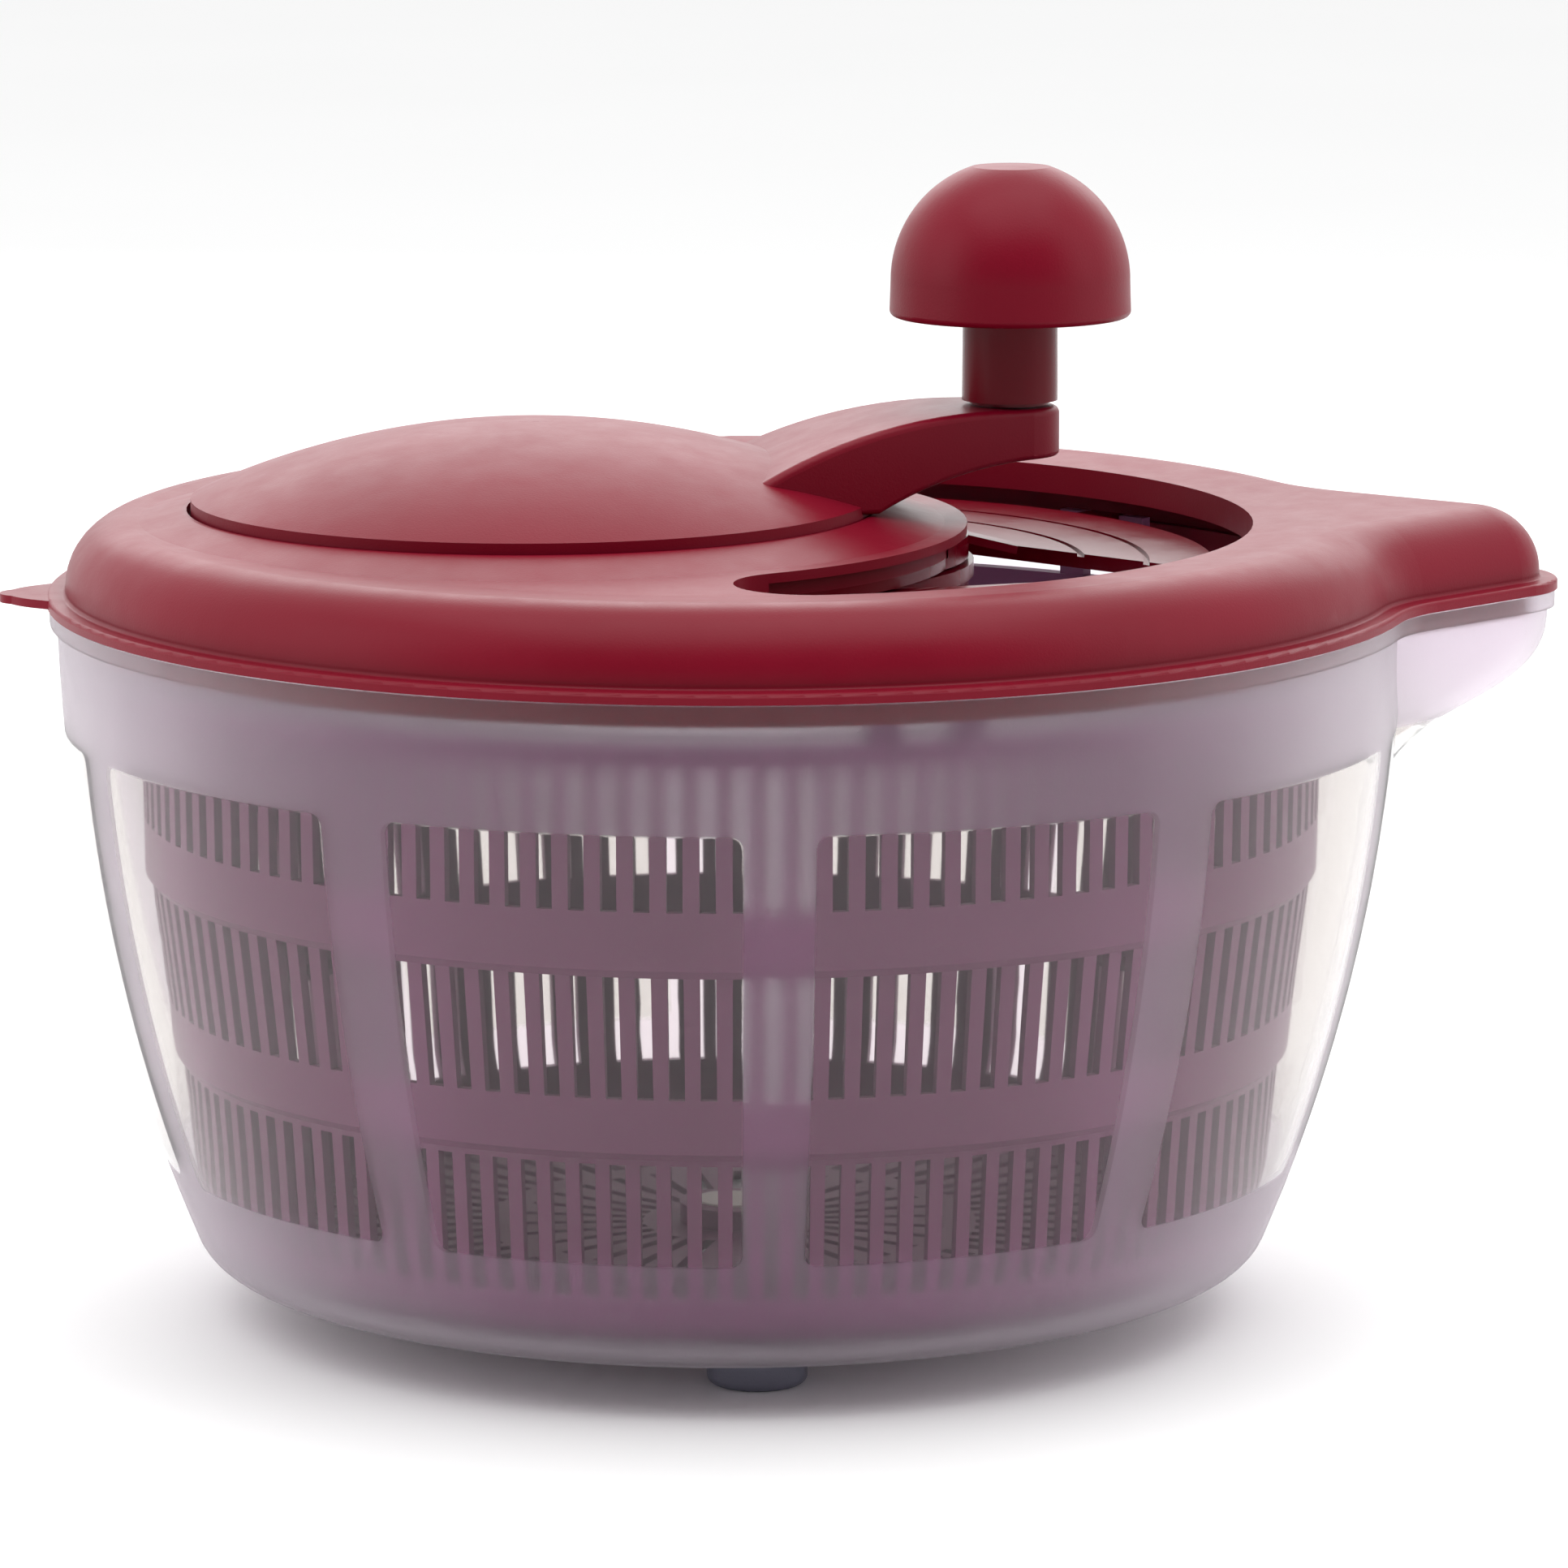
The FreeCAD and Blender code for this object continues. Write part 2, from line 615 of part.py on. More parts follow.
def build_lid_shell():
    hollow = build_lid_hollow()
    body = new_body("lid_shell")
    block = new_sketch(body, "block", height="flange_z")
    teardrop(block, "lid_wall_inset")
    raised = pad(body, block, "deck_z - flange_z")
    round_edges(body, raised, "shoulder_round", level_edge("deck_z"))
    valley = new_sketch(body, "valley", "XZ_Plane")
    outline(valley, ((0, "valley_z"), ("opening_radius", "valley_z"), (113, "deck_z"), (113, "deck_z + 1"),
                     (0, "deck_z + 1")))
    turn(body, valley, cut=True)
    flange = new_sketch(body, "flange", height="flange_z")
    teardrop(flange, 0)
    flange_pad = pad(body, flange, "flange_thick")
    on_flange_top = level_edge("flange_z + flange_thick")

    def outer_rim(edge):
        reaches_spout_tip = edge.BoundBox.XMax > number("spout_tip_centre + spout_tip_round") - 30
        goes_round_bowl = edge.Length > 500 and edge.BoundBox.XMin < 1 - number("flange_radius")
        return on_flange_top(edge) and (reaches_spout_tip or goes_round_bowl)

    round_edges(body, flange_pad, "flange_edge_round", outer_rim)
    tab = new_sketch(body, "tab", height="flange_z + 0.2")
    reach, half = "tab_reach", "tab_half_width"
    outline(tab, (
        ("-122", "-%s - 4" % half),
        ("-130", "-%s + 2" % half, "-16"),
        ("-%s + 3" % reach, "-4", "-4.6"),
        ("-%s + 3" % reach, "4", "-16"),
        ("-130", "%s - 2" % half),
        ("-122", "%s + 4" % half),
    ))
    pad(body, tab, "flange_thick - 0.4")
    hollow_cut = body.newObject("PartDesign::Boolean", "lid_shell_hollow_cut")
    hollow_cut.setObjects([hollow])
    hollow_cut.Type = "Cut"
    skirt = new_sketch(body, "skirt", height="skirt_z")
    teardrop(skirt, "rim_inset + bowl_wall + skirt_gap")
    teardrop(skirt, "rim_inset + bowl_wall + skirt_gap + skirt_skin")
    pad(body, skirt, "flange_z + 1.2 - skirt_z")
    seat = new_sketch(body, "seat", "XZ_Plane", shift="-gear_offset")
    outline(seat, ((0, "ceiling_z"), ("collar_radius", "ceiling_z"), ("collar_radius", "collar_z"),
                   ("seat_radius", "seat_z"), (0, "seat_z")))
    turn(body, seat)
    opening = new_sketch(body, "opening", height="seat_z + 1")
    opening_outline(opening)
    pocket(body, opening, "seat_z + 1 - opening_lip_z")
    lip = new_sketch(body, "opening_lip", height="opening_lip_z")
    opening_lip_outline(lip)
    pad(body, lip, "valley_z - opening_lip_z")
    recess = new_sketch(body, "recess", height="seat_z")
    circle(recess, "-gear_offset", 0, "recess_radius")
    pocket(body, recess, "seat_z - recess_z")
    hole = new_sketch(body, "gear_hole", height="seat_z")
    circle(hole, "-gear_offset", 0, "gear_hole_radius")
    pocket(body, hole)
    case_wall = new_sketch(body, "case_wall", height="case_z + case_plate")
    ring(case_wall, "case_radius", "case_radius - 2.2", "-gear_offset")
    pad(body, case_wall, "ceiling_z + 0.4 - case_z - case_plate")
    boss = new_sketch(body, "screw_boss", height="case_z + case_plate", shift="-gear_offset")
    circle(boss, "case_screw_ring * cos(45 deg)", "case_screw_ring * sin(45 deg)", "screw_boss_radius")
    boss_pad = pad(body, boss, "ceiling_z + 0.4 - case_z - case_plate")
    polar(body, [boss_pad], boss, "N_Axis", 4)
    bore = new_sketch(body, "screw_bore", height="case_z + case_plate", shift="-gear_offset")
    circle(bore, "case_screw_ring * cos(45 deg)", "case_screw_ring * sin(45 deg)", "screw_shank + running_gap")
    bore_cut = pocket(body, bore, 5.2, upward=True)
    polar(body, [bore_cut], bore, "N_Axis", 4)
    place(body)
    return body


def build_gear_case_cover():
    """Plate that closes the gear case from below; carries both bearings and the release tongue."""
    body = new_body("gear_case_cover")
    plate = new_sketch(body, "plate", height="case_z")
    circle(plate, "-gear_offset", 0, "case_radius")
    pad(body, plate, "case_plate")
    bulge = new_sketch(body, "bulge", height="case_z")
    circle(bulge, 0, 0, "case_bulge_radius")
    pad(body, bulge, "case_plate")
    wall = new_sketch(body, "bulge_wall", height="case_z + case_plate")
    cross_x = "(((case_radius + 0.3) ^ 2 - case_bulge_radius ^ 2 - gear_offset ^ 2) / (2 * gear_offset))"
    cross_y = "sqrt(case_bulge_radius ^ 2 - %s ^ 2)" % cross_x
    outline(wall, ((cross_x, "-" + cross_y, "case_bulge_radius"), (cross_x, cross_y, "-(case_radius + 0.3)")))
    pad(body, wall, 2.2)
    tongue = new_sketch(body, "tongue", "XZ_Plane", height=1.2)
    outline(tongue, (("tongue_root", "case_z + 2.6"), (44, "case_z + 2.6"), ("tongue_tip - 0.3", "case_z + 0.3"),
                     ("tongue_tip", "case_z + 1.8"), (44, "case_z + 4.2"), ("tongue_root", "case_z + 4.2")))
    pad(body, tongue, 5.6)
    sleeve = new_sketch(body, "shaft_sleeve", height="case_z - 4.8")
    circle(sleeve, 0, 0, "shaft_sleeve_radius")
    pad(body, sleeve, "4.8 + case_plate")
    boss = new_sketch(body, "crank_boss", height="case_z")
    circle(boss, "-gear_offset", 0, "crank_boss_radius")
    pad(body, boss, "crank_boss_height")
    for name, x, radius, height in (
            ("crank_bore", "-gear_offset", "crank_bush_radius", "case_z + crank_boss_height"),
            ("shaft_bore", 0, "shaft_bush_radius", "case_z + case_plate")):
        hole = new_sketch(body, name, height=height)
        circle(hole, x, 0, radius)
        pocket(body, hole)
    recess = new_sketch(body, "washer_recess", height="case_z")
    circle(recess, "-gear_offset", 0, "washer_recess_radius")
    pocket(body, recess, 4, upward=True)
    drill = new_sketch(body, "screw_hole", height="case_z", shift="-gear_offset")
    circle(drill, "case_screw_ring * cos(45 deg)", "case_screw_ring * sin(45 deg)", "screw_head + 0.2")
    sink = pocket(body, drill, 1.3, upward=True)
    polar(body, [sink], drill, "N_Axis", 4)
    through = new_sketch(body, "screw_shank_hole", height="case_z", shift="-gear_offset")
    circle(through, "case_screw_ring * cos(45 deg)", "case_screw_ring * sin(45 deg)", "screw_shank + 0.15")
    shank_hole = pocket(body, through, "case_plate + 1", upward=True)
    polar(body, [shank_hole], through, "N_Axis", 4)
    place(body)
    return body


def build_lid_bushes():
    crank_bush = turned("crank_bush", (
        ("stub_radius + running_gap", "case_z + 4"),
        ("crank_bush_radius", "case_z + 4"),
        ("crank_bush_radius", "case_z + crank_boss_height"),
        ("crank_bush_radius + bush_collar", "case_z + crank_boss_height"),
        ("crank_bush_radius + bush_collar", "case_z + crank_boss_height + 1"),
        ("stub_radius + running_gap", "case_z + crank_boss_height + 1"),
    ), x="-gear_offset")
    shaft_bush = turned("shaft_bush", (
        ("shaft_radius + running_gap", "case_z - 5.4"),
        ("shaft_bush_radius + 1.1", "case_z - 5.4"),
        ("shaft_bush_radius + 1.1", "case_z - 4.8"),
        ("shaft_bush_radius", "case_z - 4.8"),
        ("shaft_bush_radius", "case_z + case_plate + 0.3"),
        ("shaft_radius + running_gap", "case_z + case_plate + 0.3"),
    ))
    return crank_bush, shaft_bush


# ---------------------------------------------------------------- crank

def build_crank_dome():
    """Domed disc with the crank arm moulded onto it, and the stub it turns on inside.

    The disc is turned from a profile on the side away from the arm, which keeps its seam clear of the arm.
    """
    body = new_body("crank_dome")
    knob_x = "(crank_radius - gear_offset)"
    profile = new_sketch(body, "arm_side", "XZ_Plane")
    outline(profile, (
        (-4, 153.5),
        (26.4, 153.5, -69.5),
        ("%s + 9" % knob_x, "arm_top - 9.5"),
        ("%s + 14" % knob_x, "arm_top - 9.5"),
        ("%s + 14" % knob_x, "arm_top"),
        (knob_x, "arm_top", 95),
        (-4, 156),
    ))
    arm = pad(body, profile, 80, midplane=True)
    taper = new_sketch(body, "arm_plan", height="arm_top + 5")
    touch_x = "(%s + arm_end_radius * 0.4)" % knob_x
    touch_y = "(arm_end_radius * sqrt(1 - 0.16))"
    outline(taper, (
        (-10, "-(arm_root_half_width + 4)"),
        (-10, -60),
        (90, -60),
        (90, 60),
        (-10, 60),
        (-10, "arm_root_half_width + 4"),
        (touch_x, touch_y, "-arm_end_radius"),
        (touch_x, "-" + touch_y),
    ))
    cut = pocket(body, taper)
    upper = round_edges(body, cut, "arm_edge_round", lambda edge: edge.BoundBox.ZMax > number("arm_top - 0.1")
                        and edge.BoundBox.XLength > 0.3)
    round_edges(body, upper, "arm_edge_round * 0.7", lambda edge: edge.BoundBox.ZMax < number("arm_top - 9")
                and edge.BoundBox.XMax > -3.9 and edge.BoundBox.XLength > 0.3)
    cap = new_sketch(body, "cap", "XZ_Plane", shift="-gear_offset")
    outline(cap, (
        (0, "disc_z"),
        ("-disc_radius", "disc_z"),
        ("-disc_radius", "disc_edge_z", "-disc_round"),
        (0, "disc_top"),
    ))
    turn(body, cap)
    inner_edge = "(disc_edge_z - disc_skin)"
    cavity = new_sketch(body, "cavity", "XZ_Plane", shift="-gear_offset")
    outline(cavity, (
        (0, "disc_z - 8"),
        ("disc_skin - disc_radius", "disc_z - 8"),
        ("disc_skin - disc_radius", inner_edge, "disc_skin - disc_round"),
        (0, "disc_top - disc_skin"),
    ))
    turn(body, cavity, cut=True)
    ribs = new_sketch(body, "gear_rib", "XZ_Plane", shift="-gear_offset")
    rib_z = "(gear_z + gear_face)"
    outline(ribs, ((52, rib_z), ("ring_gear_radius", rib_z), ("ring_gear_radius", "disc_edge_z + 1.6"),
                   (52, "disc_edge_z + 3.6")))
    turn(body, ribs)
    stub = new_sketch(body, "stub", "XZ_Plane", shift="-gear_offset")
    outline(stub, ((0, "stub_z"), ("stub_radius", "stub_z"), ("stub_radius", "disc_top - 8"),
                   ("stub_radius + 6", "disc_top - 1.6"), (0, "disc_top - 1.6")))
    turn(body, stub)
    screw_hole = new_sketch(body, "stub_screw_hole", height="stub_z", shift="-gear_offset")
    circle(screw_hole, 0, 0, "screw_shank + 0.25")
    pocket(body, screw_hole, 12, upward=True)
    rib_holes = new_sketch(body, "rib_screw_hole", height=rib_z, shift="-gear_offset")
    circle(rib_holes, "ring_screw_ring", 0, "screw_shank + running_gap")
    rib_hole = pocket(body, rib_holes, 3, upward=True)
    polar(body, [rib_hole], rib_holes, "N_Axis", 4)
    axle_hole = new_sketch(body, "axle_hole", height="arm_top")
    circle(axle_hole, knob_x, 0, "axle_radius")
    pocket(body, axle_hole, 7)
    place(body)
    return body


def build_crank_fixings():
    washer = turned("crank_washer", (
        ("screw_shank + 0.35", "stub_z - 0.9"), (8, "stub_z - 0.9"), (8, "stub_z"),
        ("screw_shank + 0.35", "stub_z")), x="-gear_offset")
    screw = turned("crank_screw", (
        (0, "stub_z - 2.9"), (3.2, "stub_z - 2.9"), (3.2, "stub_z - 0.9"), ("screw_shank + 0.2", "stub_z - 0.9"),
        ("screw_shank + 0.2", "stub_z + 10.5"), (0, "stub_z + 10.5")), x="-gear_offset")
    gear_screws = screw_group("ring_gear_screws", "ring_screw_ring", (0, 90, 180, 270), "gear_z + 0.2", 1.6, 8,
                              x="-gear_offset", head="2.1")
    axle = turned("knob_axle", (
        (0, "arm_top - 7"), ("axle_radius", "arm_top - 7"), ("axle_radius", "knob_z + 21"),
        (0, "knob_z + 21")), x="crank_radius - gear_offset")
    clip = turned("axle_clip", (
        ("axle_radius", "knob_z + 18.4"), ("axle_radius + 2.6", "knob_z + 18.4"),
        ("axle_radius + 2.6", "knob_z + 19.2"), ("axle_radius", "knob_z + 19.2")),
        x="crank_radius - gear_offset")
    return washer, screw, gear_screws, axle, clip


# ---------------------------------------------------------------- knob

def build_knob():
    knob_x = "crank_radius - gear_offset"
    bore = "axle_radius + running_gap"
    stem = turned("knob_stem", (
        (bore, "arm_top + 0.35"),
        ("stem_radius - 1.6", "arm_top + 0.35"),
        ("stem_radius - 1.6", "arm_top + 1.1"),
        ("stem_radius", "arm_top + 1.1"),
        ("stem_radius", "arm_top + 3"),
        ("stem_radius - 0.25", "knob_z + 14"),
        (bore, "knob_z + 14"),
    ), x=knob_x)
    cap = turned("knob_cap", (
        ("stem_radius", "knob_z"),
        ("knob_radius - 1.2", "knob_z", 1.2),
        ("knob_radius", "knob_z + 1.2"),
        ("knob_round", "knob_round_z", "knob_round"),
        (7.4, "knob_flat_z"),
        (6.6, "knob_flat_z"),
        (6.6, "knob_flat_z - 2.4"),
        (5.9, "knob_flat_z - 2.4"),
        (5.9, "knob_z + 18"),
        (bore, "knob_z + 18"),
        (bore, "knob_z + 14"),
        ("stem_radius", "knob_z + 14"),
    ), x=knob_x)
    plug = turned("knob_plug", (
        (0, "knob_flat_z - 2.4"), (6.6, "knob_flat_z - 2.4"), (6.6, "knob_flat_z"), (0, "knob_flat_z + 0.2"),
    ), x=knob_x)
    return cap, stem, plug


# ---------------------------------------------------------------- gears

def involute_flank(base_radius, start_radius, end_radius, turn_angle, side):
    """A tooth flank from start_radius to end_radius as a spline through five involute points."""
    points = []
    for step in range(5):
        radius = max(start_radius, base_radius) + (end_radius - max(start_radius, base_radius)) * step / 4
        roll = math.sqrt(max(0.0, (radius / base_radius) ** 2 - 1))
        angle = turn_angle + side * (roll - math.atan(roll))
        points.append(point(radius * math.cos(angle), radius * math.sin(angle)))
    flank = Part.BSplineCurve()
    flank.interpolate(points)
    return flank


def gear_wire(teeth, root_radius, tip_radius, half_thickness):
    """Closed outline of involute teeth; half_thickness is half a tooth's angle at the pitch circle."""
    pitch = number("gear_module") * teeth / 2
    base = pitch * math.cos(math.radians(number("pressure_angle")))
    pressure_roll = math.tan(math.radians(number("pressure_angle")))
    involute = pressure_roll - math.radians(number("pressure_angle"))
    half_base = half_thickness + involute
    edges = []
    previous = None
    first = None
    for tooth in range(teeth):
        centre = 2 * math.pi * tooth / teeth
        rising = involute_flank(base, root_radius, tip_radius, centre - half_base, 1)
        falling = involute_flank(base, root_radius, tip_radius, centre + half_base, -1)
        starts = [flank.value(flank.FirstParameter) for flank in (rising, falling)]
        tips = [flank.value(flank.LastParameter) for flank in (rising, falling)]
        roots = [spot * (root_radius / spot.Length) for spot in starts]
        run = [rising.toShape(), Part.Arc(tips[0], point(math.cos(centre), math.sin(centre)) * tip_radius,
                                          tips[1]).toShape(), falling.toShape()]
        if (starts[0] - roots[0]).Length > 1e-6:
            run.insert(0, Part.LineSegment(roots[0], starts[0]).toShape())
            run.append(Part.LineSegment(starts[1], roots[1]).toShape())
        if previous is not None:
            middle = centre - math.pi / teeth
            edges.append(Part.Arc(previous, point(math.cos(middle), math.sin(middle)) * root_radius,
                                  roots[0]).toShape())
        else:
            first = roots[0]
        edges.extend(run)
        previous = roots[1]
    middle = -math.pi / teeth
    edges.append(Part.Arc(previous, point(math.cos(middle), math.sin(middle)) * root_radius, first).toShape())
    return Part.Wire(Part.__sortEdges__(edges))


def tooth_solid(name, wire):
    """The gear outline as a sheet in the document, extruded over the gear's face width."""
    face = doc.addObject("Part::Feature", name + "_outline")
    face.Shape = Part.Face(wire)
    solid = doc.addObject("Part::Extrusion", name + "_teeth")
    solid.Base = face
    solid.DirMode = "Custom"
    solid.Dir = FreeCAD.Vector(0, 0, 1)
    solid.setExpression("LengthFwd", cells("gear_face"))
    solid.Solid = True
    return solid


def build_pinion():
    teeth = int(number("pinion_teeth"))
    module = number("gear_module")
    pitch = module * teeth / 2
    half = math.pi / (2 * teeth) - number("backlash") / (4 * pitch)
    teeth_solid = tooth_solid("pinion", gear_wire(teeth, pitch - 1.25 * module, pitch + module, half))
    bore = cylinder("pinion_bore", "shaft_radius", "gear_face")
    gear = doc.addObject("Part::Cut", "pinion_gear")
    gear.Base = teeth_solid
    gear.Tool = bore
    gear.Label = "pinion_gear"
    place(gear, z="gear_z")
    return gear


def build_ring_gear():
    """Internal gear fixed under the crank disc; its tooth gap faces the pinion at rest."""
    teeth = int(number("ring_teeth"))
    module = number("gear_module")
    pitch = module * teeth / 2
    half_gap = math.pi / (2 * teeth) + number("backlash") / (4 * pitch)
    gap_solid = tooth_solid("ring", gear_wire(teeth, pitch - module, pitch + 1.25 * module, half_gap))
    blank = cylinder("ring_blank", "ring_gear_radius", "gear_face")
    toothed = doc.addObject("Part::Cut", "ring_toothed")
    toothed.Base = blank
    toothed.Tool = gap_solid
    holes = []
    for index, angle in enumerate((0, 90, 180, 270)):
        at_x, at_y = "ring_screw_ring * cos(%d deg)" % angle, "ring_screw_ring * sin(%d deg)" % angle
        holes.append(cylinder("ring_head_hole_%d" % index, 2.3, 1.8, at_x, at_y))
        holes.append(cylinder("ring_shank_hole_%d" % index, "screw_shank + 0.15", "gear_face", at_x, at_y))
    drilled = doc.addObject("Part::MultiFuse", "ring_holes")
    drilled.Shapes = holes
    gear = doc.addObject("Part::Cut", "ring_gear")
    gear.Base = toothed
    gear.Tool = drilled
    gear.Label = "ring_gear"
    place(gear, x="-gear_offset", z="gear_z")
    return gear


# ---------------------------------------------------------------- rotor

def build_carrier():
    """Wheel under the gear case that turns the basket: hub, three webs, rim and three pegs."""
    body = new_body("drive_carrier")
    disc = new_sketch(body, "disc", height="carrier_top - carrier_plate")
    circle(disc, 0, 0, "carrier_radius")
    pad(body, disc, "carrier_plate")
    skirts = new_sketch(body, "skirts", height="carrier_top - carrier_depth")
    ring(skirts, "carrier_radius", "carrier_radius - 2.4")
    ring(skirts, "carrier_hub", "carrier_hub - 2.2")
    pad(body, skirts, "carrier_depth - carrier_plate")
    window = new_sketch(body, "window", height="carrier_top")
    hub = "(carrier_hub + 1)"
    rim = "(carrier_radius - 6.3)"
    reach = "(carrier_side_distance / cos(12 deg))"
    spread = "acos(carrier_side_distance / %s)" % rim

    def at(radius, angle):
        return "%s * cos(%s)" % (radius, angle), "%s * sin(%s)" % (radius, angle)

    upper, lower = "(carrier_angle * 1 deg - 12 deg)", "(carrier_angle * 1 deg - 108 deg)"
    upper_rim = "(carrier_angle * 1 deg - %s)" % spread
    lower_rim = "(carrier_angle * 1 deg - 120 deg + %s)" % spread
    outline(window, (
        at(hub, upper) + ("-" + hub,),
        at(hub, lower),
        at(reach, lower),
        at(rim, lower_rim) + (rim,),
        at(rim, upper_rim),
        at(reach, upper),
    ))
    window_cut = pocket(body, window, "carrier_plate + 0.1")
    polar(body, [window_cut], window, "N_Axis", 3)
    steps = new_sketch(body, "steps", height="carrier_top")
    for radius in (54, 66, 78):
        ring(steps, radius + 1.2, radius)
    pocket(body, steps, 0.6)
    well = new_sketch(body, "well", height="carrier_top")
    circle(well, 0, 0, 10)
    pocket(body, well, "carrier_plate + 0.1")
    cup = new_sketch(body, "cup", "XZ_Plane")
    cup_z = "(carrier_top - 8.5)"
    outline(cup, (("shaft_radius", cup_z), (12, cup_z), (12, "carrier_top - 1"), (10, "carrier_top - 1"),
                  (10, cup_z + " + 2.5"), ("shaft_radius", cup_z + " + 2.5")))
    turn(body, cup)
    peg = new_sketch(body, "peg", height="carrier_top - carrier_depth")
    middle = "(carrier_angle * 1 deg)"
    corners = []
    for radius, side in (("(carrier_radius - 2)", -1), ("112.4", -1), ("112.4", 1), ("(carrier_radius - 2)", 1)):
        corners.append(("%s * cos(%s) - %d * sin(%s)" % (radius, middle, 4 * side, middle),
                        "%s * sin(%s) + %d * cos(%s)" % (radius, middle, 4 * side, middle)))
    outline(peg, corners)
    peg_pad = pad(body, peg, 3)
    polar(body, [peg_pad], peg, "N_Axis", 3)
    place(body)
    return body


def build_drive_shaft():
    cup_z = "(carrier_top - 8.5)"
    return turned("drive_shaft", (
        (0, cup_z + " - 1.6"),
        (7, cup_z + " - 1.6"),
        (7, cup_z),
        ("shaft_radius", cup_z),
        ("shaft_radius", "gear_z + gear_face"),
        ("shaft_radius - 0.8", "gear_z + gear_face"),
        ("shaft_radius - 0.8", "gear_z + gear_face + 0.9"),
        ("shaft_radius", "gear_z + gear_face + 0.9"),
        ("shaft_radius", "gear_z + gear_face + 2"),
        (0, "gear_z + gear_face + 2"),
    ))


def build_shaft_clip():
    return turned("shaft_clip", (
        ("shaft_radius - 0.8", "gear_z + gear_face"), ("shaft_radius + 2", "gear_z + gear_face"),
        ("shaft_radius + 2", "gear_z + gear_face + 0.9"), ("shaft_radius - 0.8", "gear_z + gear_face + 0.9")))


# ---------------------------------------------------------------- basket

def basket_section():
    """Half section of the basket: outer line up in three stepped tiers, rim bead, inner line down."""
    tiers = ((103.2, 31.0), (104.8, 50.0), (106.5, 51.5), (107.5, 62.0), (110.2, 84.0), (111.4, 85.5),
             (111.9, 121.5), (111.9, "basket_rim_z - 2"))
    skin = "basket_skin"
    outer = [(0, "basket_floor_z"), ("basket_floor_radius", "basket_floor_z", "basket_heel_round")]
    outer += list(tiers)
    bead = [(113.6, "basket_rim_z - 2"), (113.6, "basket_rim_z"), ("111.9 - %s" % skin, "basket_rim_z")]
    inner = [("%s - %s" % (radius, skin), height) for radius, height in reversed(tiers[1:-1])]
    inner.append(("%s - %s" % (tiers[0][0], skin), tiers[0][1], "-(basket_heel_round - %s)" % skin))
    inner.append(("basket_floor_radius", "basket_floor_z + %s" % skin))
    inner.append((0, "basket_floor_z + %s" % skin))
    return outer + bead + inner


def slot_tools():
    """Blocks that cut the basket's slots: three rows round the wall and two rings in the floor."""
    wide = number("slot_width")
    through = number("basket_skin") + 2
    floor = number("basket_floor_z") - 1
    rows = [(number("slot_count"), 88, 30, wide, low, high - low)
            for low, high in ((24.0, 49.0), (61.5, 84.0), (96.0, 121.5))]
    rows.append((60, 47, 37, 2.6, floor, through))
    rows.append((30, 17, 24, 2.2, floor, through))
    blocks = []
    for count, start, length, width, low, height in rows:
        for index in range(int(count)):
            block = Part.makeBox(length, width, height, FreeCAD.Vector(start, -width / 2, low))
            block.rotate(FreeCAD.Vector(), FreeCAD.Vector(0, 0, 1), 360.0 * index / count)
            blocks.append(block)
    tools = doc.addObject("Part::Feature", "slot_tools")
    tools.Shape = Part.makeCompound(blocks)
    return tools


def build_basket():
    body = new_body("basket_form")
    section = new_sketch(body, "section", "XZ_Plane")
    outline(section, basket_section())
    turn(body, section)
    hub = new_sketch(body, "hub", "XZ_Plane")
    outline(hub, ((6.5, "basket_floor_z"), (10, "basket_floor_z"), (10, 18), (6.5, 18)))
    turn(body, hub)
    eye = new_sketch(body, "eye", height=20)
    circle(eye, 0, 0, 6.5)
    pocket(body, eye)
    dogs = new_sketch(body, "dogs", height="basket_rim_z - 1")
    middle = "(carrier_angle * 1 deg)"
    for side in (-1, 1):
        corners = []
        for radius, across in ((110.2, 4.6), (112.6, 4.6), (112.6, 10.6), (110.2, 10.6)):
            corners.append(("%s * cos(%s) - %s * sin(%s)" % (radius, middle, side * across, middle),
                            "%s * sin(%s) + %s * cos(%s)" % (radius, middle, side * across, middle)))
        outline(dogs, corners)
    dog_pad = pad(body, dogs, "dog_top - basket_rim_z + 1")
    polar(body, [dog_pad], dogs, "N_Axis", 3)
    basket = doc.addObject("Part::Cut", "basket")
    basket.Base = body
    basket.Tool = slot_tools()
    basket.Label = "basket"
    place(basket)
    return basket


def build_basket_bearing():
    """Plain bearing in the basket's hub that sits over the pivot pin."""
    return turned("basket_bearing", (
        ("pivot_radius + running_gap", "basket_floor_z - 1.4"), (8.5, "basket_floor_z - 1.4"),
        (8.5, "basket_floor_z"), (6.5, "basket_floor_z"), (6.5, 18.4), (0, 18.4), (0, "pivot_top + 0.4"),
        ("pivot_radius + running_gap", "pivot_top + 0.4")))


# ---------------------------------------------------------------- whole

def check(items):
    broken = [item.Label for item in doc.Objects if "Invalid" in item.State or "Error" in item.State]
    if broken:
        raise RuntimeError("not computed: " + ", ".join(broken))
    for item in items:
        if item.Shape.isNull() or not item.Shape.isValid() or not item.Shape.Solids:
            raise RuntimeError("bad shape: " + item.Label)


def main():
    fill_sheet()
    items = [build_bowl(), *build_feet(), build_pivot_pin()]
    items += [build_lid_shell(), build_gear_case_cover(), *build_lid_bushes()]
    items.append(screw_group("case_screws", "case_screw_ring", (45, 135, 225, 315), "case_z + 0.1", 1.2, 5.6,
                             x="-gear_offset"))
    items += [build_crank_dome(), build_ring_gear(), *build_crank_fixings(), *build_knob()]
    items += [build_carrier(), build_drive_shaft(), build_pinion(), build_shaft_clip()]
    items += [build_basket(), build_basket_bearing()]
    doc.recompute()
    check(items)
    os.makedirs("parts", exist_ok=True)
    for item in items:
        item.Shape.exportStep(os.path.join("parts", item.Label + ".step"))


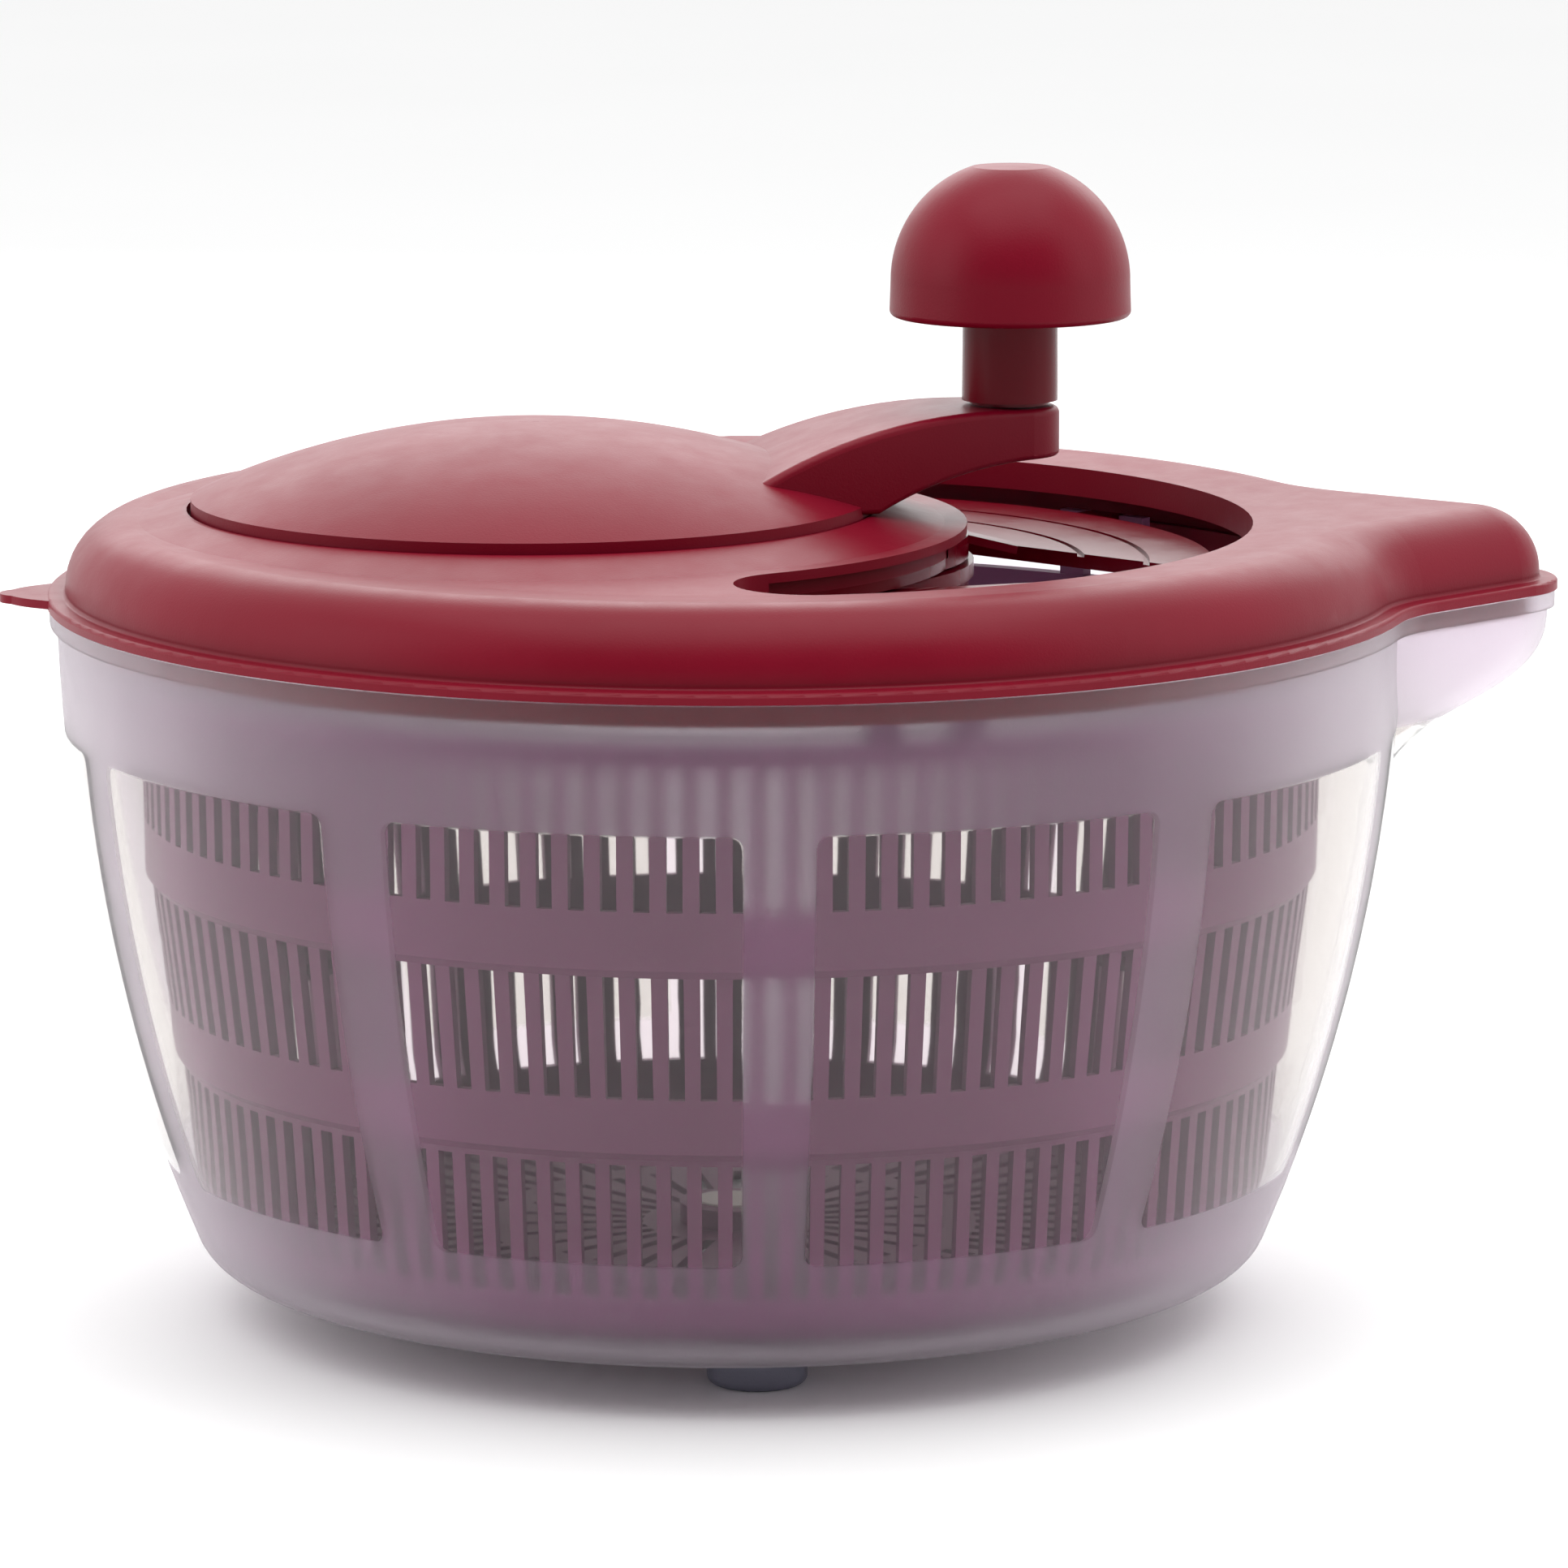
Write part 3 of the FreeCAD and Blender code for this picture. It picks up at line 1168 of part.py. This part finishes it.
main()
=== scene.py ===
import json
import math

import bpy
from mathutils import Matrix, Vector


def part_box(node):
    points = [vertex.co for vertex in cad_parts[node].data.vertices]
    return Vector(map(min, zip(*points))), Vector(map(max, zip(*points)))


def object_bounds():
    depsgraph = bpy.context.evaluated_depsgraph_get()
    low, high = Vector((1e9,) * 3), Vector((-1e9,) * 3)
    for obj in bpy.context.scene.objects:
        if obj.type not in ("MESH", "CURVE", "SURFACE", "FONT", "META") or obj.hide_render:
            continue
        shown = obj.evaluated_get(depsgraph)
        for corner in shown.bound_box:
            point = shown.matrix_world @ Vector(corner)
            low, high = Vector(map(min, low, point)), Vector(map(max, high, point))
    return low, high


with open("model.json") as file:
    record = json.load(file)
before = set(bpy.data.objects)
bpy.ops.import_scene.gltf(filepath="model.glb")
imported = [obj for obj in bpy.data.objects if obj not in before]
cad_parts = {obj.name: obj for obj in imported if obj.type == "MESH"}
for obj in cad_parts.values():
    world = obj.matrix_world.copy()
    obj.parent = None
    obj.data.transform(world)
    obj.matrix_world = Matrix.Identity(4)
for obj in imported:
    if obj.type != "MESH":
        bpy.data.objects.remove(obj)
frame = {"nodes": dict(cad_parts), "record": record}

CAD_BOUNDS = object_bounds()
MM = 0.001
AXIS_X = sum(corner[0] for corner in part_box("pivot_pin")) / 2      # the bowl turns about this line

# Clear windows in the frosted bowl
WINDOW_LOW = 31.1 * MM
WINDOW_HIGH = 112.1 * MM
WINDOW_PITCH = math.radians(36)
STRIP_HALF_ANGLE = math.radians(2.9)
WINDOW_CORNER = 2.5 * MM
FROST_EDGE = 0.4 * MM
BOWL_IOR = 1.38
CLEAR_ROUGHNESS = 0.03
FROST_ROUGHNESS = (0.40, 0.46)           # added to the clear plastic's, as the mottle varies

POLISH_SPREAD = 0.035                    # how far a moulded surface's roughness strays either way
DRIFT_RANGE = (0.35, 0.65)               # the stretch of a noise's values that spans the whole effect
MOTTLE_RANGE = (0.3, 0.7)
STEEL_RING_PITCH = 0.35 * MM

# Studio: angles in degrees, 0 straight in front, along +Y
LOOK_HEIGHT = 99 * MM
CAMERA_AZIMUTH, CAMERA_ELEVATION, CAMERA_DISTANCE = -4.3, 10.08, 1.4
CAMERA_SENSOR, CAMERA_LENS, CAMERA_REACH = 36, 168.8, 20
FLOOR_HALF = 4.0
ROOM_FRONT, ROOM_BACK = 0.20, 1.42       # brightness of the white room before and behind the object
FADE_FRONT, FADE_BACK = -0.9, 0.5        # between these, as the Y of a direction, one fades to the other
LAMPS = (                                # name, azimuth, elevation, distance, width, height, watts
    ("top_box", 10, 78, 1.3, 1.5, 1.2, 12),
    ("left_box", -72, 24, 1.3, 0.7, 1.1, 3.5),
    ("right_box", 68, 26, 1.3, 0.6, 1.1, 3),
    ("back_box", 170, 30, 1.6, 1.8, 0.9, 9),
)

# Moulded plastics: colour, and the deeper colour it drifts to
RED, DEEP_RED = (0.185, 0.0006, 0.0130), (0.163, 0.0004, 0.0105)
GLOSS_RED, DEEP_GLOSS_RED = (0.135, 0.0004, 0.0075), (0.118, 0.0003, 0.0062)
MAUVE, DEEP_MAUVE = (0.275, 0.100, 0.205), (0.245, 0.087, 0.180)
CREAM, DEEP_CREAM = (0.74, 0.72, 0.66), (0.68, 0.66, 0.60)
GREY, DEEP_GREY = (0.170, 0.170, 0.220), (0.140, 0.140, 0.185)
CLEAR, FROSTED = (0.700, 0.672, 0.658), (0.835, 0.770, 0.830)
CLEAR_SHADOW = (0.93, 0.92, 0.93)


class Graph:
    """A material's node tree, built by calls that return sockets."""

    def __init__(self, name):
        self.material = bpy.data.materials.new(name)
        self.material.use_nodes = True
        self.tree = self.material.node_tree
        self.shader = self.tree.nodes["Principled BSDF"]
        self.place = self.node("ShaderNodeTexCoord").outputs["Object"]

    def node(self, kind, **settings):
        made = self.tree.nodes.new(kind)
        for name, value in settings.items():
            setattr(made, name, value)
        return made

    def feed(self, socket, value):
        if isinstance(value, bpy.types.NodeSocket):
            self.tree.links.new(value, socket)
        else:
            socket.default_value = value

    def math(self, operation, *values):
        made = self.node("ShaderNodeMath", operation=operation)
        for socket, value in zip(made.inputs, values):
            self.feed(socket, value)
        return made.outputs[0]

    def noise(self, scale, detail=2.0, roughness=0.5):
        made = self.node("ShaderNodeTexNoise")
        self.feed(made.inputs["Vector"], self.place)
        self.feed(made.inputs["Scale"], scale)
        self.feed(made.inputs["Detail"], detail)
        self.feed(made.inputs["Roughness"], roughness)
        return made.outputs[0]

    def spread(self, value, low, high, start=0.0, end=1.0, smooth=False):
        made = self.node("ShaderNodeMapRange", interpolation_type="SMOOTHSTEP" if smooth else "LINEAR")
        for name, number in (("Value", value), ("From Min", start), ("From Max", end), ("To Min", low),
                             ("To Max", high)):
            self.feed(made.inputs[name], number)
        return made.outputs[0]

    def mix(self, factor, first, second):
        made = self.node("ShaderNodeMix", data_type="RGBA")
        colours = [socket for socket in made.inputs if socket.type == "RGBA"]
        self.feed(made.inputs["Factor"], factor)
        for socket, colour in zip(colours, (first, second)):
            self.feed(socket, colour if isinstance(colour, bpy.types.NodeSocket) else (*colour, 1.0))
        return next(socket for socket in made.outputs if socket.type == "RGBA")

    def bump(self, height, distance, strength=1.0):
        made = self.node("ShaderNodeBump")
        self.feed(made.inputs["Strength"], strength)
        self.feed(made.inputs["Distance"], distance)
        self.feed(made.inputs["Height"], height)
        self.feed(self.shader.inputs["Normal"], made.outputs[0])

    def set(self, **inputs):
        for name, value in inputs.items():
            if isinstance(value, tuple):
                value = (*value, 1.0)
            self.feed(self.shader.inputs[name.replace("_", " ")], value)


def moulded(name, colour, deep, roughness, grain, grain_size, **inputs):
    """Moulded plastic: a drift of colour through the melt, mould grain, and a slightly uneven polish."""
    graph = Graph(name)
    drift = graph.spread(graph.noise(14.0, 3.0), 0.0, 1.0, *DRIFT_RANGE)
    scuff = graph.noise(110.0, 5.0, 0.65)
    graph.set(Base_Color=graph.mix(drift, deep, colour),
              Roughness=graph.spread(scuff, roughness - POLISH_SPREAD, roughness + POLISH_SPREAD,
                                     *MOTTLE_RANGE), **inputs)
    graph.bump(graph.noise(1.0 / grain_size, 1.0), grain, 0.6)
    return graph


def frost_mask(graph):
    """1 on the frosted bands and strips, 0 on the clear windows between them."""
    split = graph.node("ShaderNodeSeparateXYZ")
    graph.feed(split.inputs[0], graph.place)
    x = graph.math("SUBTRACT", split.outputs["X"], AXIS_X)
    y, z = split.outputs["Y"], split.outputs["Z"]
    radius = graph.math("SQRT", graph.math("ADD", graph.math("MULTIPLY", x, x), graph.math("MULTIPLY", y, y)))
    azimuth = graph.math("ARCTAN2", y, x)
    turn = graph.math("DIVIDE", azimuth, WINDOW_PITCH)
    off_centre = graph.math("ABSOLUTE", graph.math("SUBTRACT", turn, graph.math("ROUND", turn)))
    across = graph.math("MULTIPLY", graph.math("MULTIPLY", off_centre, WINDOW_PITCH), radius)
    half_width = graph.math("MULTIPLY", radius, WINDOW_PITCH / 2 - STRIP_HALF_ANGLE)
    past_side = graph.math("SUBTRACT", across, graph.math("SUBTRACT", half_width, WINDOW_CORNER))
    height = graph.math("ABSOLUTE", graph.math("SUBTRACT", z, (WINDOW_LOW + WINDOW_HIGH) / 2))
    past_top = graph.math("SUBTRACT", height, (WINDOW_HIGH - WINDOW_LOW) / 2 - WINDOW_CORNER)
    side, top = graph.math("MAXIMUM", past_side, 0.0), graph.math("MAXIMUM", past_top, 0.0)
    reach = graph.math("SQRT", graph.math("ADD", graph.math("MULTIPLY", side, side),
                                          graph.math("MULTIPLY", top, top)))
    return graph.spread(reach, 0.0, 1.0, WINDOW_CORNER - FROST_EDGE, WINDOW_CORNER + FROST_EDGE, smooth=True)


def see_through(graph, shade):
    """Lets lamp light through a clear wall, tinted by shade, so that what is inside is lit."""
    clear = graph.node("ShaderNodeBsdfTransparent")
    graph.feed(clear.inputs["Color"], (*shade, 1.0))
    rays = graph.node("ShaderNodeLightPath")
    mixed = graph.node("ShaderNodeMixShader")
    graph.feed(mixed.inputs[0], rays.outputs["Is Shadow Ray"])
    graph.feed(mixed.inputs[1], graph.shader.outputs[0])
    graph.feed(mixed.inputs[2], clear.outputs[0])
    output = next(node for node in graph.tree.nodes if node.type == "OUTPUT_MATERIAL")
    graph.feed(output.inputs["Surface"], mixed.outputs[0])


def bowl_material():
    graph = Graph("bowl_plastic")
    frost = frost_mask(graph)
    mottle = graph.noise(60.0, 4.0, 0.6)
    frosted_roughness = graph.spread(mottle, *FROST_ROUGHNESS, *MOTTLE_RANGE)
    graph.set(
        Base_Color=graph.mix(frost, CLEAR, FROSTED),
        Roughness=graph.math("ADD", graph.math("MULTIPLY", frost, frosted_roughness), CLEAR_ROUGHNESS),
        IOR=BOWL_IOR, Transmission_Weight=1.0)
    grain = graph.math("MULTIPLY", graph.noise(2600.0, 1.0), frost)
    graph.bump(grain, 0.03 * MM, 0.5)
    see_through(graph, CLEAR_SHADOW)
    return graph.material


def steel_material():
    """Turned steel: every steel part stands upright, so level rings read as marks of the lathe."""
    graph = Graph("turned_steel")
    split = graph.node("ShaderNodeSeparateXYZ")
    graph.feed(split.inputs[0], graph.place)
    rings = graph.math("SINE", graph.math("MULTIPLY", split.outputs["Z"], 2 * math.pi / STEEL_RING_PITCH))
    graph.set(Base_Color=graph.mix(graph.noise(90.0, 3.0), (0.52, 0.53, 0.55), (0.68, 0.68, 0.70)),
              Metallic=1.0, Roughness=graph.spread(graph.noise(400.0, 3.0), 0.24, 0.36, *MOTTLE_RANGE))
    graph.bump(rings, 0.01 * MM, 0.3)
    return graph.material


def stage_floor():
    graph = Graph("floor_paper")
    tone = graph.noise(3.0, 2.0)
    graph.set(Base_Color=graph.mix(tone, (0.94, 0.94, 0.94), (0.96, 0.96, 0.96)), Roughness=0.9,
              Specular_IOR_Level=0.1)
    mesh = bpy.data.meshes.new("floor")
    corners = [(x * FLOOR_HALF, y * FLOOR_HALF, 0) for x, y in ((-1, -1), (1, -1), (1, 1), (-1, 1))]
    mesh.from_pydata(corners, [], [(0, 1, 2, 3)])
    mesh.materials.append(graph.material)
    floor = bpy.data.objects.new("floor", mesh)
    bpy.context.scene.collection.objects.link(floor)


def softbox(name, azimuth, elevation, distance, width, height, watts, target):
    """An area lamp that faces the target from a direction, in degrees, as the camera is placed."""
    lamp = bpy.data.lights.new(name, "AREA")
    lamp.shape = "RECTANGLE"
    lamp.size, lamp.size_y = width, height
    lamp.energy = watts
    item = bpy.data.objects.new(name, lamp)
    item.matrix_world = aimed(azimuth, elevation, distance, target)
    bpy.context.scene.collection.objects.link(item)


def aimed(azimuth, elevation, distance, target):
    """Where a camera or lamp stands, looking at the target; azimuth 0 is straight in front, along +Y."""
    a, e = math.radians(azimuth), math.radians(elevation)
    back = Vector((math.sin(a) * math.cos(e), -math.cos(a) * math.cos(e), math.sin(e)))
    right = Vector((math.cos(a), math.sin(a), 0))
    turn = Matrix((right, back.cross(right), back)).transposed()
    return Matrix.Translation(Vector(target) + back * distance) @ turn.to_4x4()


def studio_world():
    """A white room, darker in front of the object and brightest above and behind it."""
    world = bpy.data.worlds.new("studio")
    world.use_nodes = True
    tree = world.node_tree
    direction = tree.nodes.new("ShaderNodeTexCoord").outputs["Generated"]
    split = tree.nodes.new("ShaderNodeSeparateXYZ")
    tree.links.new(direction, split.inputs[0])
    fade = tree.nodes.new("ShaderNodeMapRange")
    fade.interpolation_type = "SMOOTHSTEP"
    tree.links.new(split.outputs["Y"], fade.inputs["Value"])
    for name, number in (("From Min", FADE_FRONT), ("From Max", FADE_BACK), ("To Min", ROOM_FRONT),
                         ("To Max", ROOM_BACK)):
        fade.inputs[name].default_value = number
    tree.links.new(fade.outputs[0], tree.nodes["Background"].inputs["Strength"])
    tree.nodes["Background"].inputs["Color"].default_value = (1, 1, 1, 1)
    bpy.context.scene.world = world


finishes = {
    "frosted_clear": bowl_material(),
    "grey_rubber": moulded("foot_rubber", GREY, DEEP_GREY, 0.42, 0.05 * MM, 0.5 * MM,
                           Specular_IOR_Level=0.45).material,
    "steel": steel_material(),
    "red_satin": moulded("satin_red", RED, DEEP_RED, 0.40, 0.035 * MM, 0.42 * MM,
                         Specular_IOR_Level=0.17).material,
    "red_gloss": moulded("gloss_red", GLOSS_RED, DEEP_GLOSS_RED, 0.20, 0.01 * MM, 0.6 * MM,
                         Specular_IOR_Level=0.15).material,
    "white_bearing": moulded("bearing_plastic", CREAM, DEEP_CREAM, 0.38, 0.02 * MM,
                             0.5 * MM).material,
    "mauve": moulded("mauve_basket", MAUVE, DEEP_MAUVE, 0.45, 0.02 * MM, 0.5 * MM,
                     Specular_IOR_Level=0.3).material,
}
for subpart in frame["record"]["subparts"]:
    node = frame["nodes"][subpart["node"]]
    for slot in node.material_slots:
        slot.link = "OBJECT"
        slot.material = finishes[subpart["material_slot"]]

low, high = CAD_BOUNDS
middle = Vector(((low[0] + high[0]) / 2, (low[1] + high[1]) / 2, LOOK_HEIGHT))
stage_floor()
for name, azimuth, elevation, distance, width, height, watts in LAMPS:
    softbox(name, azimuth, elevation, distance, width, height, watts, middle)
studio_world()
bpy.context.scene.view_settings.view_transform = "Standard"

camera = bpy.data.cameras.new("camera")
camera.sensor_width = CAMERA_SENSOR
camera.lens = CAMERA_LENS
camera.clip_end = CAMERA_REACH
eye = bpy.data.objects.new("camera", camera)
eye.matrix_world = aimed(CAMERA_AZIMUTH, CAMERA_ELEVATION, CAMERA_DISTANCE, middle)
bpy.context.scene.collection.objects.link(eye)
bpy.context.scene.camera = eye
